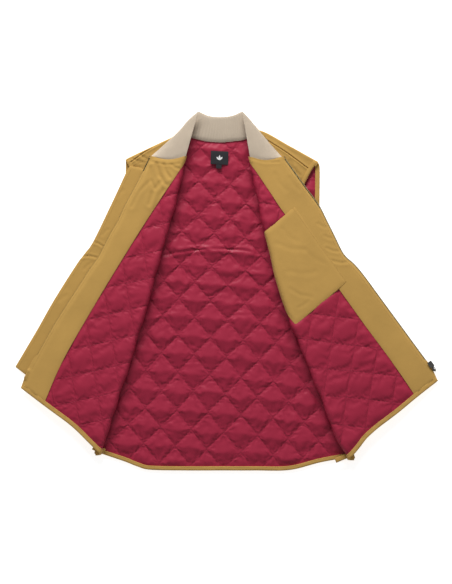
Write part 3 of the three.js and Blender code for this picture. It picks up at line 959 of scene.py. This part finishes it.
# ---------------------------------------------------------------- fronts, folded out
FACING_WRINKLES = {
    "right_front": [((-148, 297), (-86, 292), 0.8, 1.6), ((-136, 291), (-117, 248), 1.3, 3.0),
                    ((-121, 291), (-107, 262), 1.1, 2.6), ((-150, 284), (-141, 240), 1.0, 3.0),
                    ((-104, 290), (-84, 280), 0.9, 2.2), ((-128, 252), (-152, 205), 0.8, 3.4),
                    ((-112, 246), (-140, 196), 0.6, 3.6), ((-150, 255), (-190, 200), 0.6, 3.0)],
    "left_front": [((66, 303), (128, 296), 0.7, 1.6), ((228, 112), (256, 104), 0.6, 2.2),
                   ((240, 84), (282, 82), 0.6, 2.4), ((224, 138), (246, 132), 0.45, 2.4),
                   ((210, 164), (229, 156), 0.4, 2.6), ((150, 262), (170, 236), 0.3, 3.6),
                   ((118, 270), (142, 235), 0.3, 4.0)]}
POCKET = np.array([(160, 199), (49, 107), (162, -53), (273, 39)], float)
POCKET_WRINKLES = [((120, 122), (182, 108), 0.22, 4.0), ((146, 62), (205, 60), 0.24, 4.5),
                   ((150, 24), (196, 6), 0.32, 3.4), ((182, 108), (226, 78), 0.2, 4.0),
                   ((134, 152), (166, 126), 0.2, 4.0), ((168, -16), (190, -2), 0.3, 3.0)]


pin_plan = np.array([v.co[:2] for v in bpy.data.objects["zip_pin"].data.vertices]) * 1000
PIN = np.array([pin_plan[pin_plan[:, 1].argmax()], pin_plan[pin_plan[:, 1].argmin()]])


def under_pocket(fold, xy):
    """1 where the pocket presses the quilting flat."""
    if fold is RIGHT:
        return np.zeros(len(xy))
    d = distance_to(closed(POCKET), xy) * np.where(inside(POCKET, xy), 1, -1)
    return smoothstep((d + 4) / 10)


def shown_part(fold, line):
    """The part of a line on the front that isn't past the turn of the fold."""
    return part_of(line, lambda p: fold.turned(p) < LINING_TURN)


def front(tag, fold, neck_line, zip_line, zip_end, hem_line, seam, quilt):
    left = fold is LEFT
    order = -1 if left else 1
    neck_line = kept(fold, neck_line)
    hem_line = kept(fold, hem_line)
    seam = kept(fold, seam)
    free = np.vstack([neck_line, zip_line, zip_end, hem_line][::order])
    open_edge = np.vstack([zip_line, zip_end, hem_line][::order])

    def ring(neck_part, zip_part, end_part, hem_part):
        """The outline from its free edges, closed along the tucked edge beyond the fold."""
        lines = [neck_part, zip_part, end_part, hem_part][::order]
        return chain(*lines, fold.inner_edge(lines[-1][-1][1], lines[0][0][1]))

    def lining_push(xy):
        e = np.minimum(ease(seam, xy, 14), ease(hem_line, xy, 24))
        press = 1 - 0.72 * under_pocket(fold, xy)
        return 0.6 + e * press * (FRONT_LOFT * quilt.height(xy) + 0.8)

    def shell_push(xy):
        e = smoothstep(distance_to(free, xy) / 10)
        inner = -0.9 - e * (1.3 + 0.45 * drift(xy, 45, 67))
        near = np.exp(-((fold.turned(xy) - HAND_TURN) / HAND_CLEAR) ** 2)
        return inner + near * np.maximum(lining_push(xy) - 1.6 - inner, 0)

    def facing_push(xy):
        at_neck = np.exp(-(distance_to(neck_line, xy) / 6) ** 2)
        near = np.maximum(smoothstep(distance_to(open_edge, xy) / 12), at_neck)
        broad = drift(xy, 60, 84) * 0.6
        tuck = np.exp(-distance_to(seam, xy) / 5)
        over_pin = 3.6 * np.exp(-(distance_to(PIN, xy) / 3.4) ** 2)
        return 0.9 + near * (1.6 + broad + dents(xy, FACING_WRINKLES[fold.body])) - 0.9 * tuck + over_pin

    inner_hem = kept(fold, offset(hem_line, HEM_BAND - 4))

    def above_hem(line, hem_part):
        """The shown part of a line on the front that lies clear above the hem."""
        whole = ring(neck_line, zip_line, zip_end, hem_part)
        return shown_part(fold, part_of(line, lambda p: (distance_to(inner_hem, p) > 1.0) & inside(whole, p)))

    seam_under = above_hem(offset(seam, -4), hem_line)
    seam_over = above_hem(offset(seam, 0.8), inner_hem)
    inner_hem = shown_part(fold, inner_hem)
    collar_line = shown_part(fold, neck_line)
    if left:
        hem_part = part_of(inner_hem, lambda p: p[:, 0] < seam_under[0][0] - 1)
        lining_outline = chain(hem_part, seam_under, fold.inner_edge(seam_under[-1][1], hem_part[0][1],
                                                                  turn=LINING_TURN))
        corner = part_of(inner_hem, lambda p: p[:, 0] > seam_over[0][0] + 1)
        covered = zip_line[zip_line[:, 1] < -128]
        shown = np.vstack([offset(zip_line, 3.0)[(zip_line[:, 1] >= -128) & (zip_line[:, 1] < 196)],
                           offset(zip_line, 4.0)[zip_line[:, 1] > 204]])
        facing_outline = chain(seam_over[::-1], corner, offset(zip_end, 1), offset(covered, 0.4), shown,
                               collar_line,
                               fold.inner_edge(collar_line[-1][1], seam_over[-1][1], 3, LINING_TURN))
    else:
        hem_part = part_of(inner_hem, lambda p: p[:, 0] > seam_under[-1][0] + 1)
        lining_outline = chain(seam_under, hem_part, fold.inner_edge(hem_part[-1][1], seam_under[0][1],
                                                                  turn=LINING_TURN))
        corner = part_of(inner_hem, lambda p: p[:, 0] < seam_over[-1][0] - 1)
        shown = offset(zip_line, 3.2)[zip_line[:, 1] > 277]
        covered = offset(zip_line, 0.9)[(zip_line[:, 1] <= 277) & (zip_line[:, 1] > -118)]
        pin_cover = offset(zip_line, -2.6)[zip_line[:, 1] <= -124]
        facing_outline = chain(collar_line, shown, covered, pin_cover, offset(zip_end, -0.6), corner,
                               seam_over[::-1],
                               fold.inner_edge(seam_over[0][1], collar_line[0][1], 3, LINING_TURN))
    lining = surface(f"{tag}_front_quilted_lining", lining_outline, fold.wrapped, lining_push, satin,
                     quilt=quilt, per_cell=18, puff=True)
    turn_rows = [fold.turn_line(np.arange(*FOLD_REACH, 4.0), turn) for turn in HAND_ROWS]
    shell_outline = ring(neck_line, offset(zip_line, 3.4), offset(zip_end, 2), offset(hem_line, 3))
    shell = surface(f"{tag}_front_canvas", shell_outline, fold.wrapped, shell_push, canvas_out, 5.0, up=False,
                    creases=turn_rows, clear=lambda p: np.abs(fold.turned(p) - HAND_TURN) < HAND_CLEAR)
    facing = soft_slab(f"{tag}_facing_canvas", facing_outline, fold.wrapped, facing_push, 1.2, canvas, 3.2)
    hem_piece = ribbon(f"{tag}_front_hem_binding", hem_line, rounded(HEM_BAND - 2, -2.0, 2.6), fold.wrapped,
                       canvas, 0.5)
    for piece in (lining, facing):
        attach(piece, fold.body)
    for piece in (shell, hem_piece):
        fold.hand_over(piece)
    return dict(lining=lining, shell=shell, facing=facing, hem=hem_piece, facing_push=facing_push,
                lining_push=lining_push, lining_outline=lining_outline, hem_line=hem_line)


R = front("right", RIGHT, neck_r, zip_r, zip_r_end, hem_r, seam_r, QUILT_RIGHT)
L = front("left", LEFT, neck_l, zip_l, zip_l_end, hem_l, seam_l, QUILT_LEFT)

# ---------------------------------------------------------------- storm flap
flap_outer = curve([(-193.5, 288), (-203, 271), (-221, 232), (-239, 194), (-264, 142), (-278, 116),
                    (-286, 106), (-296, 93), (-310, 74), (-357, 0), (-394, -65), (-441, -144)])
flap_inner = curve([(-417, -162), (-404, -154), (-350, -52), (-292, 38), (-255, 90), (-228, 140),
                    (-197, 200), (-158, 274)])
flap_outline = chain(curve([(-158, 274), (-168, 282), (-193.5, 288)]), flap_outer,
                     curve([(-441, -144), (-417, -162)]), flap_inner)
FLAP_WRINKLES = [((-250, 114), (-276, 126), 1.1, 1.8), ((-264, 91), (-300, 93), 1.2, 1.8),
                 ((-240, 152), (-252, 140), 0.4, 2.6), ((-276, 80), (-292, 66), 0.4, 2.6),
                 ((-208, 236), (-220, 222), 0.3, 3.0), ((-330, 10), (-344, 0), 0.3, 3.4)]


def flap_push(xy):
    d = distance_to(zip_r, xy)
    return -3.2 - 0.05 * d + dents(xy, FLAP_WRINKLES) + 0.4 * drift(xy, 40, 77)


flap = soft_slab("storm_flap_canvas", flap_outline, flat_at(RIGHT.mid), flap_push, 2.2, canvas_out, 3.0)
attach(flap, "right_front")


# ---------------------------------------------------------------- inner pocket
def pocket_push(xy):
    rise = 2.8 + 0.6 * smoothstep(distance_to(closed(POCKET), xy) / 9)
    return rise + dents(xy, POCKET_WRINKLES) + 0.35 * drift(xy, 46, 51)


pocket_lines = [shown_part(LEFT, curve(POCKET[[i, (i + 1) % 4]])) for i in (0, 1, 2, 3)]
pocket_turn = LEFT.inner_edge(pocket_lines[0][-1][1], pocket_lines[1][0][1], 4, LINING_TURN)
pocket_outline = chain(pocket_lines[0], pocket_turn, *pocket_lines[1:])
pocket = soft_slab("inner_pocket_canvas", pocket_outline, LEFT.wrapped, pocket_push, 1.2, canvas, 3.2)
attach(pocket, "left_front")

# ---------------------------------------------------------------- collar

def knit(name, seam_line, top_line, z_seam, z_top, body, crown=1.5, thick=3.0, flip=False):
    """Rib knit between its seam and its free edge, with ribs running across it."""
    a = np.asarray(seam_line, float)
    b = np.asarray(top_line, float)
    n = int(np.hypot(*np.diff(b, axis=0).T).sum() / 0.6)

    def even(line):
        s = along(line)
        t = np.linspace(0, s[-1], n)
        return np.column_stack([np.interp(t, s, line[:, 0]), np.interp(t, s, line[:, 1])]), s[-1]

    A, _ = even(a)
    B, length = even(b)
    t = np.linspace(0, 1, n)
    rib = np.sin(t * length / RIB_PITCH * 2 * math.pi + 0.6 * np.sin(t * 40))
    ribs = 0.3 * np.sign(rib) * np.abs(rib) ** 0.7
    verts = []
    uv = []
    for sign in (1, -1):
        for j in range(RIB_ROWS + 1):
            f = j / RIB_ROWS
            p = A * (1 - f) + B * f
            edge = min(1.0, (1 - f) * 9)
            half = thick / 2 * math.sqrt(max(0.02, 1 - (1 - edge) ** 2)) * (0.3 + 0.7 * min(1.0, f * 9))
            sunk = -1.0 * math.exp(-f * 14)
            wave = sunk + 0.6 * drift(p, 26, 43) * math.sin(f * math.pi)
            base = z_seam(p) * (1 - f) + z_top(p) * f + crown * math.sin(f * math.pi) + wave
            side = np.clip(np.minimum(t, 1 - t) * n * 0.6 / 2.0, 0, 1)
            side = np.sqrt(np.clip(1 - (1 - side) ** 2, 0.02, 1))
            z = base + sign * (half * side + ribs * side * (0.35 + 0.65 * min(1, f * 5)))
            verts.append(np.column_stack([p, z]))
            uv.append(np.column_stack([t * length, t * 0 + f * 55.0]) / 1000.0)
    faces = []
    size = n * (RIB_ROWS + 1)
    for j in range(RIB_ROWS):
        for i in range(n - 1):
            q = (j * n + i, j * n + i + 1, (j + 1) * n + i + 1, (j + 1) * n + i)
            r = tuple(k + size for k in q)
            faces.append(q if not flip else tuple(reversed(q)))
            faces.append(tuple(reversed(r)) if not flip else r)
    for i in range(n - 1):
        for j in (0, RIB_ROWS):
            q = (j * n + i, j * n + i + 1, size + j * n + i + 1, size + j * n + i)
            faces.append(tuple(reversed(q)) if (j == 0) == (not flip) else q)
    for j in range(RIB_ROWS):
        for i in (0, n - 1):
            q = (j * n + i, (j + 1) * n + i, size + (j + 1) * n + i, size + j * n + i)
            faces.append(q if (i == 0) == (not flip) else tuple(reversed(q)))
    obj = make(name, np.vstack(verts), faces, rib_mat, uv=np.vstack(uv))
    for e in obj.data.edges:
        k, m = sorted(e.vertices)
        if m == k + 1 and (m < n or size <= k and m < size + n):
            e.use_edge_sharp = True
    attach(obj, body)
    return obj


collar_seam = curve([(-84, 359), (-60, 349), (-31, 342.5), (0, 340), (27, 342), (54, 346), (83, 364)], 1)
collar_top = chain(curve([(-86, 364), (-66, 387), (-45, 406)], 1),
                   curve([(-45, 406), (-24, 397), (0, 394.5), (25, 397), (47, 406)], 1),
                   curve([(47, 406), (66, 387), (84, 367)], 1))
collar_back = knit("collar_back_knit", collar_seam, collar_top, level(4.2), level(3.2), "back", 0.8, 2.8)
collar_r = knit("collar_right_knit",
                curve([(-73, 308), (-92, 302.5), (-112, 300.5), (-130, 303), (-147, 308.5)], 1),
                curve([(-45.5, 406), (-68, 387), (-89, 363), (-120, 334), (-148, 309.5)], 1),
                lambda p: RIGHT.mid(p) + 1.4, lambda p: RIGHT.mid(p) - 7.4, "right_front", 0.8, 2.4, True)
collar_l = knit("collar_left_knit",
                curve([(64, 306), (90, 299.5), (112, 300.5), (124, 304), (132, 306.5)], 1),
                curve([(47.5, 406), (63, 390), (84, 364), (109, 335), (133, 308)], 1),
                lambda p: LEFT.mid(p) + 1.4, lambda p: LEFT.mid(p) - 7.4, "left_front", 0.8, 2.4)

# ---------------------------------------------------------------- label
label_outline = straight_sides([(-20, 293), (17, 291), (18, 319), (-19, 321)])


def label_push(xy):
    return 7.4 + 0.3 * drift(xy, 14, 31)


label = soft_slab("neck_label_cloth", label_outline, table, label_push, 0.7, label_mat, 2.0)
tab_outline = straight_sides([(-8, 283.5), (3, 283), (3, 293), (-8, 293)])
tab = soft_slab("size_tab_cloth", tab_outline, table, lambda xy: label_push(xy) - 0.3, 0.6, label_mat, 2.0)


def leaf(name, centre, length, turn):
    """A woven leaf shape on the label."""
    side = np.linspace(0, 1, 12)
    half = LEAF_WIDTH / 2 * np.sin(side * math.pi) ** 0.8
    right = np.stack([half, side * length], 1)
    left = np.stack([-half[::-1], side[::-1] * length], 1)[1:-1]
    p = np.vstack([right, left])
    c, s = math.cos(turn), math.sin(turn)
    p = p @ np.array([[c, s], [-s, c]]) + centre
    z = label_push(p) + 0.55
    obj = make(name, np.column_stack([p, z]), [tuple(range(len(p)))], motif_mat, uv=p / 1000.0)
    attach(obj, "back")
    return obj


motif = [leaf(f"label_motif_{k}", (-1, 301), length, turn)
         for k, (length, turn) in enumerate([(11, 0.0), (9.5, 0.75), (9.5, -0.75)])]
for piece in (label, tab):
    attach(piece, "back")


# ---------------------------------------------------------------- zips
def teeth(name, line, middle, body):
    """Separate metal teeth, one every TOOTH_PITCH along the zip."""
    pts = curve(line, TOOTH_PITCH)
    n = normals(pts)
    t = np.stack([n[:, 1], -n[:, 0]], 1)
    z = middle(pts)
    verts = []
    faces = []
    shape = ((-0.52, -1.5, 1.25), (-0.62, 0.2, 1.45), (-0.30, 1.5, 0.8), (0.30, 1.5, 0.8), (0.62, 0.2, 1.45),
             (0.52, -1.5, 1.25))
    for i in range(len(pts)):
        c = pts[i] + n[i] * TOOTH_INSET
        k = len(verts)
        for sign in (1, -1):
            for al, ac, hh in shape:
                p = c + t[i] * al * TOOTH_PITCH * 0.62 - n[i] * ac
                verts.append((p[0], p[1], z[i] + sign * hh))
        m = len(shape)
        faces.append(tuple(range(k, k + m)))
        faces.append(tuple(reversed(range(k + m, k + 2 * m))))
        for q in range(m):
            faces.append((k + (q + 1) % m, k + q, k + m + q, k + m + (q + 1) % m))
    obj = make(name, verts, faces, teeth_mat, smooth=False)
    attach(obj, body)
    return obj


TAPE = [(13, -0.3), (13, 0.3), (0.9, 0.5), (0.9, -0.5)]
for tag, zip_line, fold in (("right", zip_r, RIGHT), ("left", zip_l, LEFT)):
    row = teeth(f"{tag}_teeth_row", zip_line, fold.mid, fold.body)
    tape = ribbon(f"{tag}_zip_tape_cloth", zip_line, TAPE, flat_at(fold.mid), tape_mat)
    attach(tape, fold.body)
    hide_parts(f"{tag}_zip_teeth")
    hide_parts(f"{tag}_zip_tape")


# ---------------------------------------------------------------- stitching
def sewn(name, lines, place, push, body, material=seam_thread_painted_shade, length=2.5):
    """Stitches that ride a body, or follow the cloth round a fold."""
    obj = stitches(name, lines, place, push, material, length)
    if isinstance(body, Fold):
        body.hand_over(obj)
    else:
        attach(obj, body)
    return obj


def proud(push, more):
    return lambda p: push(p) + more


for tag, part, fold, quilt, zip_line, inset in (("right", R, RIGHT, QUILT_RIGHT, zip_r, 5.0),
                                                ("left", L, LEFT, QUILT_LEFT, zip_l, 8.5)):
    sewn(f"stitch_{tag}_zip", [offset(zip_line, inset)[3:-3]], fold.wrapped, proud(part["facing_push"], 0.6),
         fold.body)
    sewn(f"stitch_{tag}_hem", [offset(part["hem_line"], HEM_BAND - 3.4)], fold.wrapped, level(2.6), fold)
    sewn(f"quilting_{tag}", quilt.seams(part["lining_outline"]), fold.wrapped, part["lining_push"], fold.body,
         quilting_thread_painted_groove_shade, RED_STITCH)
sewn("stitch_back_hem", [offset(hem, HEM_BAND - 4.4)], table, level(5.2), "back")
sewn("stitch_left_armhole", [offset(armhole_l, 8.2)], table, level(5.1), "back")
sewn("stitch_right_armhole", [offset(armhole_r, 8.2)], table, level(5.0), "back")
sewn("stitch_left_shoulder", [curve([(97, 348.5), (143, 319.5), (189, 285.5)])], flat_at(LEFT.side),
     level(2.5), "back")
sewn("stitch_right_shoulder", [offset(shoulder_r, 18)[8:-3]], flat_at(RIGHT.side), level(2.5), "back")
sewn("stitch_pocket", [curve([(270, 40), (157, 196)]), curve([(168, -47), (270, 38)])], LEFT.wrapped,
     proud(pocket_push, 0.6), "left_front")
sewn("stitch_flap", [offset(flap_outer, 6)[2:-2]], flat_at(RIGHT.mid), proud(flap_push, 1.1), "right_front")
sewn("quilting_back", QUILT_BACK.seams(back_inner), table, back_top, "back", quilting_thread_painted_groove_shade, RED_STITCH)

# ---------------------------------------------------------------- which CAD node each piece stands for
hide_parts("back_lining", "back_wadding")
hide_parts("back_shell")
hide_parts("back_hem_band")
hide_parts("right_armhole_facing")
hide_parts("left_armhole_facing")
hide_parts("neck_label")
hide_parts("size_tab")
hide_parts("collar_back")
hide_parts("collar_right")
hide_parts("collar_left")
for tag, parts, shoulder in (("right", right_side, right_shoulder), ("left", left_side, left_shoulder)):
    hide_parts(f"{tag}_side_shell")
    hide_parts(f"{tag}_side_lining", f"{tag}_side_wadding")
    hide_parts(f"{tag}_side_hem_band")
    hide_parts(f"{tag}_shoulder_wrap")
for tag, piece in (("right", R), ("left", L)):
    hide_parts(f"{tag}_front_lining", f"{tag}_front_wadding")
    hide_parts(f"{tag}_front_shell")
    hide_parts(f"{tag}_facing")
    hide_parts(f"{tag}_front_hem_band")
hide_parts("storm_flap")
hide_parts("inner_pocket")
for node in ("zip_slider", "zip_pull", "zip_box", "zip_pin", "right_zip_stop", "left_zip_stop"):
    for index in range(len(bpy.data.objects[node].material_slots)):
        bpy.data.objects[node].material_slots[index].material = gunmetal


# ---------------------------------------------------------------- floor, camera, lights
bpy.ops.mesh.primitive_plane_add(size=6.0, location=(0, 0, -0.0005))
floor = bpy.context.object
floor.name = "floor"
floor_mat, _, _, floor_shader = shader("floor_white", (0.9, 0.9, 0.9), 0.9, specular=0.1)
floor_shader.inputs["Emission Color"].default_value = (1, 1, 1, 1)
floor_shader.inputs["Emission Strength"].default_value = 0.7
floor.data.materials.append(floor_mat)

camera_data = bpy.data.cameras.new("camera")
camera_data.lens = 100
camera_data.sensor_fit = "VERTICAL"
camera_data.sensor_height = 36
camera = bpy.data.objects.new("camera", camera_data)
camera.location = (0.0129, 0.0172, 3.489 + 0.01)
bpy.context.scene.collection.objects.link(camera)
bpy.context.scene.camera = camera

world = bpy.data.worlds.new("studio")
world.use_nodes = True
world.node_tree.nodes["Background"].inputs["Color"].default_value = (1, 1, 1, 1)
world.node_tree.nodes["Background"].inputs["Strength"].default_value = 0.31
bpy.context.scene.world = world


def area(name, location, target, size, power):
    data = bpy.data.lights.new(name, "AREA")
    data.shape = "RECTANGLE"
    data.size, data.size_y = size
    data.energy = power
    obj = bpy.data.objects.new(name, data)
    obj.location = location
    direction = Vector(target) - Vector(location)
    obj.rotation_euler = direction.to_track_quat("-Z", "Y").to_euler()
    bpy.context.scene.collection.objects.link(obj)


area("key_from_collar_side", (-0.3, 3.4, 1.7), (0, 0, 0), (2.4, 1.0), 185)
bpy.context.scene.view_settings.view_transform = "Standard"
bpy.context.scene.view_settings.look = "None"
